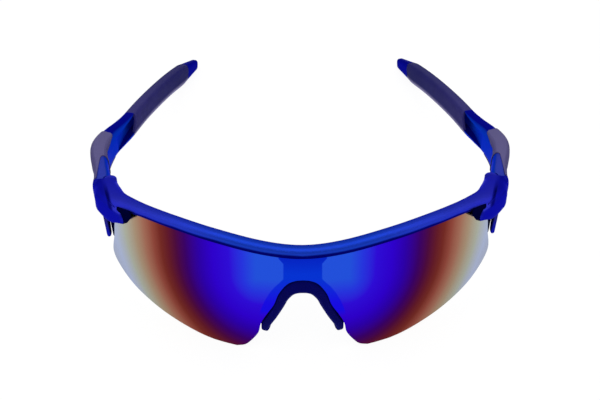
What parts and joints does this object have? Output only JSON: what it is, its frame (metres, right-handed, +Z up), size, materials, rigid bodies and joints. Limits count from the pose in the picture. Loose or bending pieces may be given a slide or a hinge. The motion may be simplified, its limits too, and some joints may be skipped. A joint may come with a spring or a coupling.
{
  "type": "sports sunglasses",
  "caption": "Half-frame wraparound sports sunglasses: one mirrored shield lens under a blue brow bar, a soft nose pad and folding arms with rubber grips.",
  "frame": {"origin": "the middle of width and depth, on the surface that the sunglasses stand on with their arms open: the two lens lobes and the arm tips", "axes": "+X across the face, towards the arm that lies on the right in a view from the front; +Y from the lens to the arm tips; +Z up, towards the brow bar"},
  "size_m": [0.1452, 0.1731, 0.0519],
  "materials": {
    "frame_blue": "satin metallic blue, moulded",
    "arm_blue": "satin metallic blue, moulded",
    "mirror_lens": "mirrored: blue in the middle, then violet, dark red, sand and pale blue towards the ends",
    "nose_rubber": "matt dark navy",
    "grip_rubber": "matt violet grey",
    "black_plastic": "matt black",
    "screw_steel": "plated",
    "insert_brass": "plain"
  },
  "bodies": {
    "front": {"brow_frame": "frame_blue", "shield_lens": "mirror_lens", "nose_pad": "nose_rubber", "left_claw_pad": "black_plastic", "left_lens_catch": "black_plastic", "left_hinge_screw": "screw_steel", "left_thread_insert": "insert_brass", "right_claw_pad": "black_plastic", "right_lens_catch": "black_plastic", "right_hinge_screw": "screw_steel", "right_thread_insert": "insert_brass"},
    "left_arm": {"left_arm": "arm_blue", "left_shoulder_pad": "grip_rubber", "left_ear_sock": "grip_rubber"},
    "right_arm": {"right_arm": "arm_blue", "right_shoulder_pad": "grip_rubber", "right_ear_sock": "grip_rubber"}
  },
  "joints": [
    {"name": "right_arm_fold", "type": "hinge", "parent": "front", "child": "right_arm", "pos_m": [0.0626, -0.04457, 0.0368], "axis": [0, 0, 1], "range_deg": [0, 85]},
    {"name": "left_arm_fold", "type": "hinge", "parent": "front", "child": "left_arm", "pos_m": [-0.0626, -0.04457, 0.0368], "axis": [0, 0, -1], "range_deg": [0, 78]}
  ]
}
